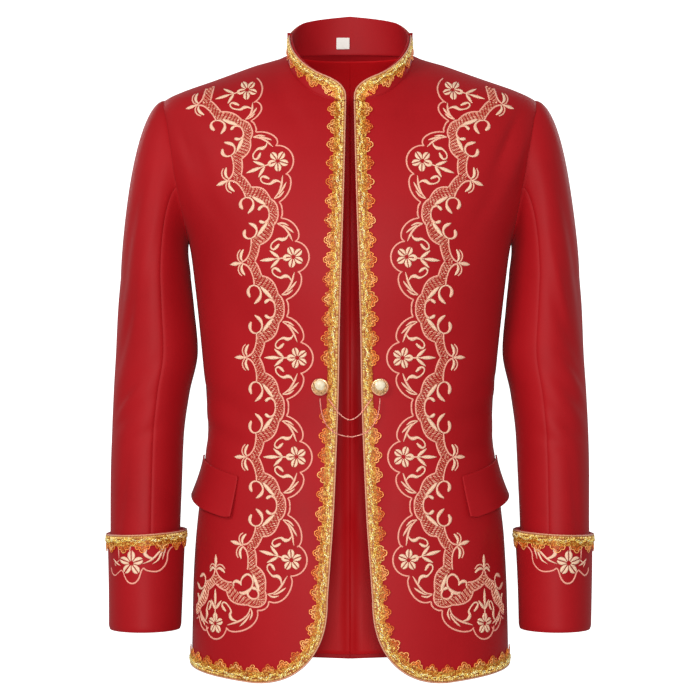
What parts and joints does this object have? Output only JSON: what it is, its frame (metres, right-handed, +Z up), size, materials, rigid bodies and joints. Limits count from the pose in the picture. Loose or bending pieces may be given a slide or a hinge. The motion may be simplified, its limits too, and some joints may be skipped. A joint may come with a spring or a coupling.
{
  "type": "court coat",
  "caption": "Hollow worn red court coat with a stand collar, gold picot braid, turned-back cuffs, pocket flaps and a chained button fastening.",
  "frame": {"origin": "middle of the neck opening, level with the side-neck points of the shoulder seams", "axes": "+Z up, -Y towards the wearer's front, +X towards the wearer's left"},
  "size_m": [0.5718, 0.2639, 0.7795],
  "materials": {
    "satin": "red satin-faced suiting with a soft sheen",
    "lining": "smooth red lining satin",
    "gold_braid": "gold sequin braid with picot fans and a thin cord edge",
    "button_gold": "gilt rim with a pale faceted dome",
    "chain_gold": "pinkish gilt links",
    "label": "plain woven tape, blank",
    "embroidery": "champagne satin-stitch thread"
  },
  "bodies": {
    "root": {"front_left": "satin", "front_right": "satin", "back_left": "satin", "back_right": "satin", "lining_back_left": "lining", "lining_back_right": "lining", "sleeve_top_left": "satin", "sleeve_top_right": "satin", "sleeve_under_left": "satin", "sleeve_under_right": "satin", "cuff_left": "satin", "cuff_right": "satin", "pocket_flap_left": "satin", "pocket_flap_right": "satin", "collar": "satin", "braid_front_left": "gold_braid", "braid_front_right": "gold_braid", "braid_cuff_left": "gold_braid", "braid_cuff_right": "gold_braid", "braid_collar": "gold_braid", "button_left": "button_gold", "button_right": "button_gold", "chain_upper": "chain_gold", "chain_lower": "chain_gold", "neck_label": "label"}
  },
  "joints": []
}
